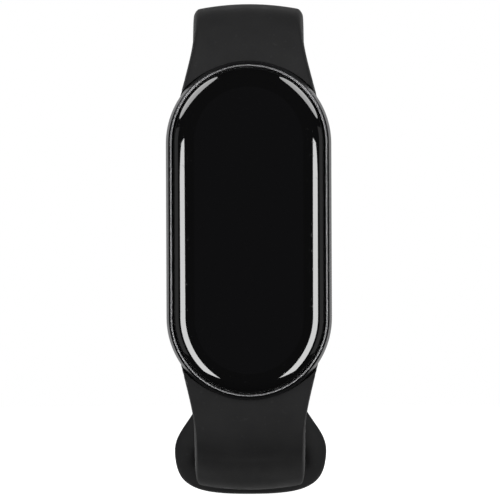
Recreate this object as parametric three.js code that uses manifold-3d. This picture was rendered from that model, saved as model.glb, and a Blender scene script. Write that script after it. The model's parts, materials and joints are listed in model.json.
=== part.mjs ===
// Fitness tracker band, closed on its clasp. Millimetres: X runs across the strap, the display faces -Y and
// +Z points to twelve o'clock. The origin is the middle of the sensor window's flat, which rests on the wrist.
//
// A pill-shaped capsule carries two soft strap halves on quick-release connectors. The upper half runs over
// the top and down the back and ends in a wide ring. The lower half runs inside the ring's crossbar, comes out
// through its eye and lies on the outside of the upper half, where a stud holds it by one of its holes.

import * as THREE from "three";
import { mergeVertices } from "three/addons/utils/BufferGeometryUtils.js";
import Module from "manifold-3d";

const wasm = await Module();
wasm.setup();

const { smoothstep, degToRad } = THREE.MathUtils;

// ---------------------------------------------------------------- driving dimensions

const GAP = 0.3;

// Capsule: its depths are measured back from the crown of the cover glass
const CAPSULE_WIDTH = 21.7;
const CAPSULE_LENGTH = 44.5;
const CAPSULE_DEPTH = 11;
const STRAIGHT = CAPSULE_LENGTH - CAPSULE_WIDTH;
const OUTER = CAPSULE_WIDTH / 2;
const WALL = OUTER - 1.65;

// Loop of the strap's mid-line
const LOOP_TOP = 29.6;
const LOOP_BOTTOM = -34.4;
const LOOP_BACK = 42.7;
const STRAP_Y = -6;
const STRAP_REACH = 17;
const LEAVE = degToRad(8);
const CORNER_RADIUS = 30;
const UNDER_RADIUS = 16;

// Strap section
const HALF_WIDTH = 7.4;
const TAIL_HALF_WIDTH = 7;
const HALF_THICK = 1.05;
const ROOT_HALF_THICK = 3.4;
const LAYER = 1.3;
const CROWN = 0.8;
const CROWN_POWER = 3.5;
const FLAT_POWER = 4;

// Clasp: places along the loop, counted from the capsule's upper end
const EYE_CENTRE = 103.2;
const EYE_HALF_LENGTH = 6;
const EYE_HALF_WIDTH = TAIL_HALF_WIDTH + 0.4;
const RING_WIDEST = 103.8;
const RING_HALF_WIDTH = 10.83;
const RING_TIP_LENGTH = 11.4;
const RING_EXTRA_THICK = 0.45;
const STUD_PLACE = 83.1;
const STUD_FLANGE_RADIUS = 3;
const STUD_FLANGE_THICK = 0.6;
const STUD_POST_RADIUS = 1.3;
const HOLE_PITCH = 5.6;
const HOLE_COUNT = 10;
const HOLES_BELOW_STUD = 3;
const HOLE_HALF_WIDTH = 1.95;
const HOLE_HALF_LENGTH = 2.45;
const TAIL_HINGE = STUD_PLACE + 2.5 * HOLE_PITCH;
const TAIL_TIP = 60.1;

// Quick release: places along either half, counted from the capsule
const PLUG_START = 3.75;
const PLUG_HALF_WIDTH = 4;
const PLUG_HALF_THICK = 1;
const BLOCK_START = 6.1;
const BLOCK_END = 12.8;
const BLOCK_HALF_WIDTH = 4.8;
const BLOCK_HALF_THICK = 1.5;
const BUTTON_PLACE = 10.7;
const BUTTON_HALF_WIDTH = 2.5;
const BUTTON_HALF_LENGTH = 1.3;
const BUTTON_BASE = -1.1;
const BUTTON_POWER = 8;

// ---------------------------------------------------------------- materials

function finish(color, roughness, metalness = 0) {
  return new THREE.MeshStandardMaterial({ color, roughness, metalness });
}

const STRAP_RUBBER = finish(0x2a2a2b, 0.75);
const FRAME_METAL = finish(0x1d1e20, 0.28, 1);
const COVER_GLASS = finish(0x050506, 0.04);
const CASE_PLASTIC = finish(0x1a1b1c, 0.5);
const PANEL_BLACK = finish(0x08080a, 0.2);
const SEAL_RUBBER = finish(0x111111, 0.85);
const CHASSIS_PLASTIC = finish(0x3a3b3d, 0.6);
const BOARD_GREEN = finish(0x12432c, 0.55);
const CHIP_BLACK = finish(0x17181a, 0.5);
const CELL_SILVER = finish(0x9fa3a8, 0.4, 0.8);
const STEEL = finish(0xb4b6b8, 0.3, 1);
const STUD_PLASTIC = finish(0x1c1c1d, 0.35);
const GOLD = finish(0xc9a14a, 0.3, 1);
const FLEX_AMBER = finish(0x8a5a1c, 0.5);
const LED_CLEAR = finish(0xdfe8d8, 0.2);

// ---------------------------------------------------------------- solids from geometries

function reshape(geometry, rule) {
  const position = geometry.attributes.position;
  const point = new THREE.Vector3();
  for (let i = 0; i < position.count; i++) {
    rule(point.fromBufferAttribute(position, i));
    position.setXYZ(i, point.x, point.y, point.z);
  }
  return geometry;
}

function solid(geometry) {
  geometry.deleteAttribute("normal");
  geometry.deleteAttribute("uv");
  const merged = mergeVertices(geometry, 1e-4);
  const triVerts = new Uint32Array(merged.index.array);
  const vertProperties = merged.attributes.position.array;
  const make = () => new wasm.Manifold(new wasm.Mesh({ numProp: 3, vertProperties, triVerts }));
  const made = make();
  if (made.volume() > 0) return made;
  triVerts.reverse();
  return make();
}

function piece(name, shape, material) {
  const { vertProperties, triVerts } = shape.getMesh();
  const geometry = new THREE.BufferGeometry();
  geometry.setAttribute("position", new THREE.BufferAttribute(vertProperties, 3));
  geometry.setIndex(new THREE.BufferAttribute(triVerts, 1));
  const flat = geometry.toNonIndexed();
  flat.computeVertexNormals();
  const mesh = new THREE.Mesh(flat, material);
  mesh.name = name;
  return mesh;
}

function box(x, y, z, [width, depth, height]) {
  return solid(new THREE.BoxGeometry(width, depth, height).translate(x, y, z));
}

// A round profile of [radius, depth] points, turned about the Y axis.
function turned(profile, sides = 24) {
  const points = profile.map(([radius, depth]) => new THREE.Vector2(radius, depth));
  return new THREE.LatheGeometry(points, sides, Math.PI / sides);
}

// A flat shape, drawn in X and Z, given a thickness back along Y.
function slab(shape, thick, curveSegments = 16) {
  const made = new THREE.ExtrudeGeometry(shape, { depth: thick, bevelEnabled: false, curveSegments });
  return made.rotateX(Math.PI / 2).translate(0, thick, 0);
}

// The same profile, carried round a pill outline: its two half circles are moved apart along Z.
function pill(profile, straight = STRAIGHT, sides = 36) {
  return solid(reshape(turned(profile, sides), (p) => p.setZ(p.z + (Math.sign(p.z) * straight) / 2)));
}

const closedRing = (points) => [...points, points[0]];
const disc = (radius, from, to) => [[0, from], [radius, from], [radius, to], [0, to]];

// ---------------------------------------------------------------- the loop

const top = { radius: (LOOP_TOP - STRAP_REACH) / (1 - Math.sin(LEAVE)) };
const front = { radius: (-STRAP_REACH - LOOP_BOTTOM) / (1 - Math.sin(LEAVE)) };
top.y = STRAP_Y + top.radius * Math.cos(LEAVE);
front.y = STRAP_Y + front.radius * Math.cos(LEAVE);
const backRadius = LOOP_BACK - top.y;
const eighth = { long: Math.SQRT1_2, short: 1 - Math.SQRT1_2 };
const cornerTop = LOOP_BOTTOM + eighth.long * CORNER_RADIUS + eighth.short * UNDER_RADIUS;
const cornerFront = LOOP_BACK - eighth.short * CORNER_RADIUS - eighth.long * UNDER_RADIUS;

const arc = (radius, turn) => ({ radius, length: radius * turn });
const line = (length) => ({ radius: Infinity, length });
const COURSE = [
  arc(top.radius, Math.PI / 2 - LEAVE),
  arc(backRadius, Math.PI / 2),
  line(LOOP_TOP - backRadius - cornerTop),
  arc(CORNER_RADIUS, Math.PI / 4),
  arc(UNDER_RADIUS, Math.PI / 4),
  line(cornerFront - front.y),
  arc(front.radius, Math.PI / 2 - LEAVE),
];
const LOOP_LENGTH = COURSE.reduce((sum, { length }) => sum + length, 0);

const fromTop = (distance) => distance;
const fromBottom = (distance) => LOOP_LENGTH - distance;

// The mid-line's point at a place along it. The heading runs from +Z towards +Y.
function loopAt(place) {
  let y = STRAP_Y;
  let z = STRAP_REACH;
  let heading = LEAVE;
  let left = place;
  for (const { radius, length } of COURSE) {
    const step = Math.min(left, length);
    if (radius === Infinity) {
      y += step * Math.sin(heading);
      z += step * Math.cos(heading);
    } else {
      const next = heading + step / radius;
      y += radius * (Math.cos(heading) - Math.cos(next));
      z += radius * (Math.sin(next) - Math.sin(heading));
      heading = next;
    }
    left -= step;
    if (left <= 0) break;
  }
  return { y, z, heading };
}

// Takes a point given as (across, out from the mid-line, place along the loop) to where it lies.
function wrap(point) {
  const { y, z, heading } = loopAt(point.z);
  return point.set(point.x, y - point.y * Math.cos(heading), z + point.y * Math.sin(heading));
}

// A superellipse's coordinate for a unit circle's: a power of 2 leaves it round, and more squares it.
const ROUND = 2;
const SQUARISH = 4;
const superellipse = (t, power) => (Math.abs(t) < 1e-6 ? 0 : Math.sign(t) * Math.abs(t) ** (2 / power));

// Places from one end to the other at an even pitch.
function evenly(from, to, pitch) {
  const steps = Math.ceil((to - from) / pitch);
  return Array.from({ length: steps + 1 }, (_, i) => from + ((to - from) * i) / steps);
}

// Places along a half ellipse's length, closer together towards its blunt tip.
const BLUNT = degToRad(83);
function towardsTip(from, length, steps) {
  return Array.from({ length: steps }, (_, i) => from + length * Math.sin((BLUNT * (i + 1)) / steps));
}

const halfEllipse = (t) => Math.sqrt(1 - Math.min(Math.max(t, 0), Math.sin(BLUNT)) ** 2);

// A soft strap through a list of places: a D section, crowned outside and flat against the wrist.
function strap(places, { halfWidth, halfThick, layer }, around = 16) {
  const tube = new THREE.CylinderGeometry(1, 1, 1, around, places.length - 1);
  return solid(reshape(tube, (p) => {
    const place = places[Math.round((p.y + 0.5) * (places.length - 1))];
    const thick = halfThick(place);
    const rim = layer(place) + thick * (1 - 2 * CROWN);
    const outward = superellipse(p.z, p.z > 0 ? CROWN_POWER : FLAT_POWER);
    const out = rim + outward * 2 * thick * (p.z > 0 ? CROWN : 1 - CROWN);
    wrap(p.set(superellipse(p.x, CROWN_POWER) * halfWidth(place), out, place));
  }));
}

// A prism that stands out of the loop, with a rounded outline.
function loopPrism(place, halfWidth, halfLength, from, to, power, sides) {
  const prism = new THREE.CylinderGeometry(1, 1, 1, sides);
  return solid(reshape(prism, (p) => {
    const out = THREE.MathUtils.lerp(from, to, p.y + 0.5);
    wrap(p.set(superellipse(p.x, power) * halfWidth, out, place + superellipse(p.z, power) * halfLength));
  }));
}

// A block that follows the loop's bend.
function loopBlock(from, to, halfWidth, low, high, steps = 4) {
  const block = new THREE.BoxGeometry(2 * halfWidth, high - low, to - from, 1, 1, steps);
  return solid(reshape(block, (p) => wrap(p.set(p.x, p.y + (low + high) / 2, p.z + (from + to) / 2))));
}

// ---------------------------------------------------------------- capsule

const capsule = new THREE.Group();
capsule.position.set(0, -CAPSULE_DEPTH, 0);

const inCapsule = (shape) => shape.translate([0, CAPSULE_DEPTH, 0]);
const inLoop = (shape) => shape.translate([0, -CAPSULE_DEPTH, 0]);

const BOARD_FRONT = 3.9;
const BOARD_BACK = 4.5;
const PARTS_FRONT = BOARD_BACK + GAP;
const CONTACT_X = 3.3;
const CONTACT_Z = -14.6;
const CONTACT_RADIUS = 1;
const CONTACT_FRONT = 8.5;
const CONTACT_BACK = 10.4;
const WINDOW_STRAIGHT = 9;
const WINDOW_RADIUS = 5.6;
const FINE_SIDES = 32;

function coverGlass() {
  return pill([[0, 0], [5.2, 0], [7.2, 0.1], [8.4, 0.32], [9.1, 0.62], [9.6, 1.02], [9.8, 1.5], [0, 1.5]]);
}

function coverGasket() {
  return pill(closedRing([[9.45, 1.8], [9.8, 1.8], [9.8, 2.15], [9.45, 2.15]]));
}

function frameRing() {
  const hoop = pill(closedRing([
    [10.05, 0.95], [10.35, 0.95], [10.65, 1.4], [OUTER, 2.5], [OUTER, 5.2], [10.65, 6.6], [10.3, 7.4],
    [WALL, 7.4], [WALL, 2.5], [10.05, 2.5],
  ]));
  return hoop.subtract(socket(fromTop)).subtract(socket(fromBottom));
}

// The opening in the frame's end that a connector's plug slides into.
function socket(at) {
  const [from, to] = [at(PLUG_START - 2.6), at(PLUG_START + 4.6)].sort((a, b) => a - b);
  const halfThick = PLUG_HALF_THICK + GAP;
  return inCapsule(loopBlock(from, to, PLUG_HALF_WIDTH + GAP, -halfThick, halfThick));
}

function backGasket() {
  return pill(closedRing([[WALL, 7.7], [9.75, 7.7], [9.75, 8], [WALL, 8]]));
}

function backCover() {
  const tray = pill([
    [0, 10.2], [7, 10.2], [8.9, 9.8], [10, 8.9], [10.3, 7.7], [10.05, 7.7], [10.05, 8.3], [8.9, 8.3],
    [8.9, 6.8], [8.3, 6.8], [8.3, 8.6], [7.5, 9.2], [0, 9.2],
  ]);
  const opening = pill(disc(WINDOW_RADIUS + GAP, CONTACT_FRONT, CAPSULE_DEPTH), WINDOW_STRAIGHT, FINE_SIDES);
  const holes = [-1, 1].map((side) => contact(side, CONTACT_RADIUS + GAP, CAPSULE_DEPTH));
  return holes.reduce((cover, hole) => cover.subtract(hole), tray.subtract(opening));
}

function contact(side, radius = CONTACT_RADIUS, back = CONTACT_BACK) {
  return solid(turned(disc(radius, CONTACT_FRONT, back), 16).translate(side * CONTACT_X, 0, CONTACT_Z));
}

function sensorWindow() {
  const radius = WINDOW_RADIUS;
  const edge = [[radius, 9.9], [radius, 10.4], [radius - 0.3, 10.8], [radius - 1.1, CAPSULE_DEPTH]];
  return pill([[0, 9.9], ...edge, [0, CAPSULE_DEPTH]], WINDOW_STRAIGHT, FINE_SIDES);
}

// The tray that holds the board and the cell, with a slot that lets the display's flex through.
const SLOT_Z = -16.6;
function innerChassis() {
  const tray = pill([[0, 2.9], [8.9, 2.9], [8.9, 6.3], [8.2, 6.3], [8.2, 3.6], [0, 3.6]]);
  return tray.subtract(box(0, 3.2, SLOT_Z, [6.6, 2, 1.4]));
}

function displayFlex() {
  const down = box(0, 3.25, SLOT_Z, [6, 0.7, 0.5]);
  const foot = box(0, 3.05, SLOT_Z + 0.2, [6, 0.3, 0.9]);
  return down.add(foot);
}

const flatPill = (radius, from, to, straight = STRAIGHT) => pill(disc(radius, from, to), straight, FINE_SIDES);

const MOTOR_Z = -15.2;
const MOTOR_RADIUS = 3.2;
const MOTOR_WALL = 0.35;
const MOTOR_BACK = 7.6;
const SHAFT_RADIUS = 0.4;
const ROTOR_RADIUS = 2.5;
const ROTOR_THICK = 1.5;
const HUB_RADIUS = 1.3;

function motorCase() {
  const inside = MOTOR_RADIUS - MOTOR_WALL;
  const floor = PARTS_FRONT + MOTOR_WALL;
  const wall = [[MOTOR_RADIUS, PARTS_FRONT], [MOTOR_RADIUS, MOTOR_BACK], [inside, MOTOR_BACK], [inside, floor]];
  return solid(turned([[0, PARTS_FRONT], ...wall, [0, floor]]).translate(0, 0, MOTOR_Z));
}

function motorShaft() {
  const front = PARTS_FRONT + MOTOR_WALL + GAP;
  return solid(turned(disc(SHAFT_RADIUS, front, MOTOR_BACK - 0.1), 16).translate(0, 0, MOTOR_Z));
}

// A hub with a half-disc weight, heavy side down.
function motorRotor() {
  const outline = new THREE.Shape();
  outline.absarc(0, 0, ROTOR_RADIUS, Math.PI, 2 * Math.PI, false);
  outline.absarc(0, 0, HUB_RADIUS, 0, Math.PI, false);
  const bore = new THREE.Path();
  bore.absarc(0, 0, SHAFT_RADIUS + GAP, 0, 2 * Math.PI, true);
  outline.holes.push(bore);
  return solid(slab(outline, ROTOR_THICK).translate(0, MOTOR_BACK - 0.5 - ROTOR_THICK, MOTOR_Z));
}

// A half ring of flex round the upper end of the board.
function antennaFlex() {
  const [from, to] = [degToRad(20), degToRad(160)];
  const outline = new THREE.Shape();
  outline.absarc(0, 0, 7.7, from, to, false);
  outline.absarc(0, 0, 7.1, to, from, true);
  return solid(slab(outline, 0.4).translate(0, PARTS_FRONT, STRAIGHT / 2));
}

// A component standing on the back of the main board, given by the middle of its foot and its size.
const onBoard = (x, z, size) => box(x, PARTS_FRONT + size[1] / 2, z, size);

const SENSOR_FRONT = 9;
const SENSOR_THICK = 0.55;
const DIODE_Z = 4.6;
const BARRIER_RADIUS = 2.3;
const sensorChip = (z, width, height) =>
  box(0, SENSOR_FRONT + SENSOR_THICK / 2, z, [width, SENSOR_THICK, height]);

function opticalBarrier() {
  const wall = new THREE.Shape();
  wall.absarc(0, 0, BARRIER_RADIUS, 0, 2 * Math.PI, false);
  const inside = new THREE.Path();
  inside.absarc(0, 0, BARRIER_RADIUS - 0.5, 0, 2 * Math.PI, true);
  wall.holes.push(inside);
  return solid(slab(wall, SENSOR_THICK, 12).translate(0, SENSOR_FRONT, 0));
}

capsule.add(
  piece("glass_cover", coverGlass(), COVER_GLASS),
  piece("cover_gasket", coverGasket(), SEAL_RUBBER),
  piece("frame_ring", frameRing(), FRAME_METAL),
  piece("display_panel", flatPill(8.9, 1.8, 2.6), PANEL_BLACK),
  piece("inner_chassis", innerChassis(), CHASSIS_PLASTIC),
  piece("display_flex", displayFlex(), FLEX_AMBER),
  piece("main_board", flatPill(7.9, BOARD_FRONT, BOARD_BACK), BOARD_GREEN),
  piece("processor_shield", onBoard(0, 13.2, [7, 1.2, 6]), STEEL),
  piece("memory_chip", onBoard(-5.4, 10.6, [2.6, 0.8, 3.4]), CHIP_BLACK),
  piece("motion_sensor", onBoard(5.4, 10.9, [2.4, 0.8, 2.4]), CHIP_BLACK),
  piece("antenna_flex", antennaFlex(), FLEX_AMBER),
  piece("battery_cell", onBoard(0, -1.7, [13.6, 3.2, 19.4]), CELL_SILVER),
  piece("vibration_motor_case", motorCase(), STEEL),
  piece("vibration_motor_shaft", motorShaft(), STEEL),
  piece("vibration_motor_rotor", motorRotor(), STEEL),
  piece("back_gasket", backGasket(), SEAL_RUBBER),
  piece("back_cover", backCover(), CASE_PLASTIC),
  piece("sensor_board", flatPill(5.5, 8.3, SENSOR_FRONT - GAP, 10), BOARD_GREEN),
  piece("sensor_led_centre", sensorChip(0, 1.8, 1.8), LED_CLEAR),
  piece("photodiode_upper", sensorChip(DIODE_Z, 3, 2), CHIP_BLACK),
  piece("photodiode_lower", sensorChip(-DIODE_Z, 3, 2), CHIP_BLACK),
  piece("optical_barrier", opticalBarrier(), CHIP_BLACK),
  piece("sensor_window", sensorWindow(), COVER_GLASS),
  piece("charging_contact_left", contact(-1), GOLD),
  piece("charging_contact_right", contact(1), GOLD),
  piece("charging_magnet", box(0, 8.5, CONTACT_Z, [3, 0.8, 3]), STEEL),
);

// ---------------------------------------------------------------- strap halves

// Near the capsule a strap is wider and thicker.
const flare = (fromCapsule) => HALF_WIDTH + 1.25 * Math.max(0, 1 - (fromCapsule - 1.4) / 8) ** 2;
const swell = (fromCapsule) =>
  HALF_THICK + (ROOT_HALF_THICK - HALF_THICK) * (1 - smoothstep(fromCapsule, 6.5, 21));

// The ring: the strap widens in an ease, and its end is a blunt half ellipse.
function upperHalfWidth(place) {
  if (place > RING_WIDEST) return RING_HALF_WIDTH * halfEllipse((place - RING_WIDEST) / RING_TIP_LENGTH);
  return flare(place) + (RING_HALF_WIDTH - HALF_WIDTH) * smoothstep(place, RING_WIDEST - 8, RING_WIDEST);
}

// The upper half lies inside at the back and outside under the loop, and the lower half the other way round.
const eyeCrossing = (place, half) => smoothstep(place, EYE_CENTRE - half, EYE_CENTRE + half);
const upperLayer = (place) => LAYER * (2 * eyeCrossing(place, 5.5) - smoothstep(place, 30, TAIL_TIP + 7));
const lowerLayer = (place) =>
  LAYER * (1 - 2 * eyeCrossing(place, 4.5) + smoothstep(place, EYE_CENTRE + 14, EYE_CENTRE + 22.5));

// The lower half narrows a little towards the eye, and its tail ends in a half circle.
function lowerHalfWidth(place) {
  const narrowing = (HALF_WIDTH - TAIL_HALF_WIDTH) * (1 - smoothstep(place, EYE_CENTRE + 12, EYE_CENTRE + 30));
  const tip = halfEllipse((TAIL_TIP + TAIL_HALF_WIDTH - place) / TAIL_HALF_WIDTH);
  return (flare(LOOP_LENGTH - place) - narrowing) * tip;
}

// How much of the ring's extra body a place has.
const ringBody = (place) =>
  smoothstep(place, RING_WIDEST - 7.5, RING_WIDEST - 1.5) *
  (1 - smoothstep(place, RING_WIDEST + 4.5, RING_WIDEST + 12.5));

const THROUGH = 6;
const capsuleRoom = inLoop(pill(disc(OUTER + GAP, -5, 16)));

const buttonWell = (place, depth) =>
  loopPrism(place, BUTTON_HALF_WIDTH + GAP, BUTTON_HALF_LENGTH + GAP, -THROUGH, depth, BUTTON_POWER, 16);

// The room that the connector and its button take in a strap's end, and the holes for the stud.
function connectorRoom(at) {
  const [from, to] = [at(PLUG_START - 3), at(BLOCK_END + GAP)].sort((a, b) => a - b);
  const room = loopBlock(from, to, BLOCK_HALF_WIDTH + GAP, -BLOCK_HALF_THICK - GAP, BLOCK_HALF_THICK + GAP, 6);
  return room.add(buttonWell(at(BUTTON_PLACE), 0));
}

const studHole = (place) =>
  loopPrism(place, HOLE_HALF_WIDTH, HOLE_HALF_LENGTH, -THROUGH, THROUGH, ROUND, 16);
const holes = Array.from({ length: HOLE_COUNT }, (_, i) => STUD_PLACE + (i - HOLES_BELOW_STUD) * HOLE_PITCH);
const pierced = (shape, places) => places.reduce((left, place) => left.subtract(studHole(place)), shape);

function upperStrap() {
  const coarse = evenly(-1, RING_WIDEST - 12.5, 2.6);
  const fine = evenly(RING_WIDEST - 10.5, RING_WIDEST, 1.5);
  const band = strap([...coarse, ...fine, ...towardsTip(RING_WIDEST, RING_TIP_LENGTH, 9)], {
    halfWidth: upperHalfWidth,
    halfThick: (place) => swell(place) + RING_EXTRA_THICK * ringBody(place),
    layer: upperLayer,
  });
  const eye = loopPrism(EYE_CENTRE, EYE_HALF_WIDTH, EYE_HALF_LENGTH, -THROUGH, THROUGH, SQUARISH, FINE_SIDES);
  const seatRadius = STUD_FLANGE_RADIUS + GAP;
  const seatDepth = STUD_LOW + STUD_FLANGE_THICK + GAP;
  const seat = loopPrism(STUD_PLACE, seatRadius, seatRadius, -THROUGH, seatDepth, ROUND, 16);
  const boreRadius = STUD_POST_RADIUS + GAP;
  const bore = loopPrism(STUD_PLACE, boreRadius, boreRadius, -THROUGH, THROUGH, ROUND, 16);
  const rooms = [capsuleRoom, connectorRoom(fromTop), eye, seat, bore];
  return rooms.reduce((left, room) => left.subtract(room), band);
}

function lowerStrap() {
  const band = strap(evenly(TAIL_HINGE + GAP / 2, LOOP_LENGTH + 1, 2), {
    halfWidth: lowerHalfWidth,
    halfThick: (place) => swell(LOOP_LENGTH - place),
    layer: lowerLayer,
  });
  const cut = band.subtract(capsuleRoom).subtract(connectorRoom(fromBottom));
  return pierced(cut, holes.filter((place) => place > TAIL_HINGE));
}

function strapTail() {
  const tipEnd = TAIL_TIP + TAIL_HALF_WIDTH;
  const tip = towardsTip(0, TAIL_HALF_WIDTH, 6).map((length) => tipEnd - length).reverse();
  const places = [...tip, ...evenly(tipEnd, TAIL_HINGE - GAP / 2, 2.6)];
  const band = strap(places, { halfWidth: lowerHalfWidth, halfThick: () => HALF_THICK, layer: lowerLayer });
  return pierced(band, holes.filter((place) => place < TAIL_HINGE));
}

// The stud: a flange behind the upper half, a post through both layers and a domed head outside.
const STUD_LOW = -LAYER - HALF_THICK + 0.3;
const STUD_HEAD = LAYER + HALF_THICK + 0.35;
function claspStud() {
  const { y, z, heading } = loopAt(STUD_PLACE);
  const flangeTop = STUD_LOW + STUD_FLANGE_THICK;
  const flange = [[0, STUD_LOW], [STUD_FLANGE_RADIUS, STUD_LOW], [STUD_FLANGE_RADIUS, flangeTop]];
  const post = [[STUD_POST_RADIUS, flangeTop], [STUD_POST_RADIUS, STUD_HEAD]];
  const head = [[1.7, STUD_HEAD], [1.7, STUD_HEAD + 0.35], [1.2, STUD_HEAD + 0.75], [0, STUD_HEAD + 0.85]];
  const stud = turned([...flange, ...post, ...head]);
  return solid(stud.rotateX(Math.PI - heading).translate(0, y, z));
}

// ---------------------------------------------------------------- quick-release connectors

function connector(at) {
  const span = (a, b, ...rest) => loopBlock(...[at(a), at(b)].sort((p, q) => p - q), ...rest);
  const plug = span(PLUG_START, BLOCK_START + 0.2, PLUG_HALF_WIDTH, -PLUG_HALF_THICK, PLUG_HALF_THICK);
  const block = span(BLOCK_START, BLOCK_END, BLOCK_HALF_WIDTH, -BLOCK_HALF_THICK, BLOCK_HALF_THICK);
  return plug.add(block).subtract(buttonWell(at(BUTTON_PLACE), 1));
}

// A push button that stands 0.2 proud of the strap's inner face.
function releaseButton(place) {
  const proud = -swell(BUTTON_PLACE) - 0.2;
  return loopPrism(place, BUTTON_HALF_WIDTH, BUTTON_HALF_LENGTH, proud, BUTTON_BASE, BUTTON_POWER, 16);
}

// A leaf spring bridging the bottom of the button's pocket, bowed towards the button.
function buttonSpring(place) {
  const [halfSpan, thick, width, rise] = [2.2, 0.3, 1.4, 0.4];
  const leaf = new THREE.BoxGeometry(2 * halfSpan, thick, width, 8, 1, 1);
  const bow = (x) => rise * (x / halfSpan) ** 2 + thick / 2;
  return solid(reshape(leaf, (p) => wrap(p.set(p.x, p.y + bow(p.x), p.z + place))));
}

const straps = new THREE.Group();
straps.add(
  piece("upper_strap", upperStrap(), STRAP_RUBBER),
  piece("lower_strap", lowerStrap(), STRAP_RUBBER),
  piece("strap_tail", strapTail(), STRAP_RUBBER),
  piece("clasp_stud", claspStud(), STUD_PLASTIC),
);
for (const [side, at] of [["upper", fromTop], ["lower", fromBottom]]) {
  straps.add(
    piece(`${side}_connector`, connector(at), CASE_PLASTIC),
    piece(`${side}_release_button`, releaseButton(at(BUTTON_PLACE)), CASE_PLASTIC),
    piece(`${side}_button_spring`, buttonSpring(at(BUTTON_PLACE)), STEEL),
  );
}

const tracker = new THREE.Group();
tracker.add(capsule, straps);

export default tracker;
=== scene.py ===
"""Fitness tracker band, closed on its clasp: the looks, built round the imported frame.

Lengths are in millimetres and become metres when a mesh is made. X runs across the strap, the display
faces -Y and +Z points to twelve o'clock. The origin is the middle of the sensor window's flat, which rests
on the wrist. The strap pieces are drawn flat, as (across, place along the loop), and wrapped.
"""
import json
import math

import bpy
import bmesh
import numpy as np
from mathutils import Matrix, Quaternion, Vector
from mathutils.geometry import delaunay_2d_cdt


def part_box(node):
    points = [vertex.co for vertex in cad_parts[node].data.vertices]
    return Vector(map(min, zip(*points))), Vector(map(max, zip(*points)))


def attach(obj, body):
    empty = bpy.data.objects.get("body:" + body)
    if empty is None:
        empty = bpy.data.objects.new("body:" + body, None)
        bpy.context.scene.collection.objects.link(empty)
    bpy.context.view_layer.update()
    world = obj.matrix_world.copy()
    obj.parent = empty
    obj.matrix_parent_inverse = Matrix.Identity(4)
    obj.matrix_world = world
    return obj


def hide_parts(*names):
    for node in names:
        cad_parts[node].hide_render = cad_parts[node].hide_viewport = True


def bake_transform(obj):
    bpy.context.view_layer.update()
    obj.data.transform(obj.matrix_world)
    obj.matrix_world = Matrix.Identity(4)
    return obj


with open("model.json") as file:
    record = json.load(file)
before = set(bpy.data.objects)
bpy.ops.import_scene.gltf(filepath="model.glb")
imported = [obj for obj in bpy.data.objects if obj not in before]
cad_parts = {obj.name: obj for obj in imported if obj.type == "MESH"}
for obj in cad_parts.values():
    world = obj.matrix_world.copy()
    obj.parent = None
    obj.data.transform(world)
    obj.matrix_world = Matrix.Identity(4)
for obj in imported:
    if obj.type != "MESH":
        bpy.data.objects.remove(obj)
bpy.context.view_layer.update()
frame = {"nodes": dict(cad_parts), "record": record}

MM = 0.001


def in_mm(node):
    """A CAD node's lowest and highest corner, in millimetres."""
    low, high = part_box(node)
    return np.array(low) / MM, np.array(high) / MM


# ---------------------------------------------------------------- sizes

# the capsule: a pill of half width OUTER, with straight sides STRAIGHT long
FRONT_Y = in_mm("glass_cover")[0][1]
OUTER = 10.85
STRAIGHT = 22.8
WALL_DEPTH = 2.6
LIP_RADIUS = 10.25
GLASS_RADIUS = 9.85
GLASS_FLAT = 5.2
GLASS_DROP = 1.3
WINDOW_STRAIGHT = 9.0
WINDOW_RADIUS = 5.6
CONTACT_X = 3.3
CONTACT_Z = -14.6
CONTACT_RADIUS = 1.0
OPENING_GAP = 0.12
OPENING_FLOOR = 8.6

# where the strap's ends meet the capsule: the frame's wall leans in towards the front
CAPSULE_GAP = 0.04
WALL_SLOPE = 0.29
WALL_REACH = 1.3
WARP_END = 14.0

# the loop of the strap's mid-line, as in the CAD model
LOOP_TOP = 29.6
LOOP_BOTTOM = -34.4
LOOP_BACK = 42.7
STRAP_Y = -6.0
STRAP_REACH = 17.0
LEAVE = math.radians(8)
CORNER_RADIUS = 30.0
UNDER_RADIUS = 16.0

# strap section and clasp, as in the CAD model
HALF_WIDTH = 7.4
TAIL_HALF_WIDTH = 7.0
HALF_THICK = 1.05
ROOT_HALF_THICK = 3.4
LAYER = 1.3
CROWN = 0.8
EYE_CENTRE = 103.2
EYE_HALF_LENGTH = 6.0
EYE_HALF_WIDTH = TAIL_HALF_WIDTH + 0.4
RING_WIDEST = 103.8
RING_HALF_WIDTH = 10.83
RING_TIP_LENGTH = 11.4
RING_EXTRA_THICK = 0.45
STUD_PLACE = 83.1
HOLE_PITCH = 5.6
HOLES_BELOW_STUD = 3
HOLE_COUNT = 10
HOLE_HALF_WIDTH = 1.95
HOLE_HALF_LENGTH = 2.45
TAIL_HINGE = STUD_PLACE + 2.5 * HOLE_PITCH
TAIL_TIP = 60.1
BUTTON_PLACE = 10.7
BUTTON_HALF_WIDTH = 2.5
BUTTON_HALF_LENGTH = 1.3
BUTTON_BASE = -1.1
BUTTON_POWER = 8
BUTTON_GAP = 0.15
STUD_FLANGE_RADIUS = 3.0
STUD_FLANGE_THICK = 0.6
STUD_POST_RADIUS = 1.3
STUD_LOW = -LAYER - HALF_THICK + 0.3
STUD_HEAD = LAYER + HALF_THICK + 0.35

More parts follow.
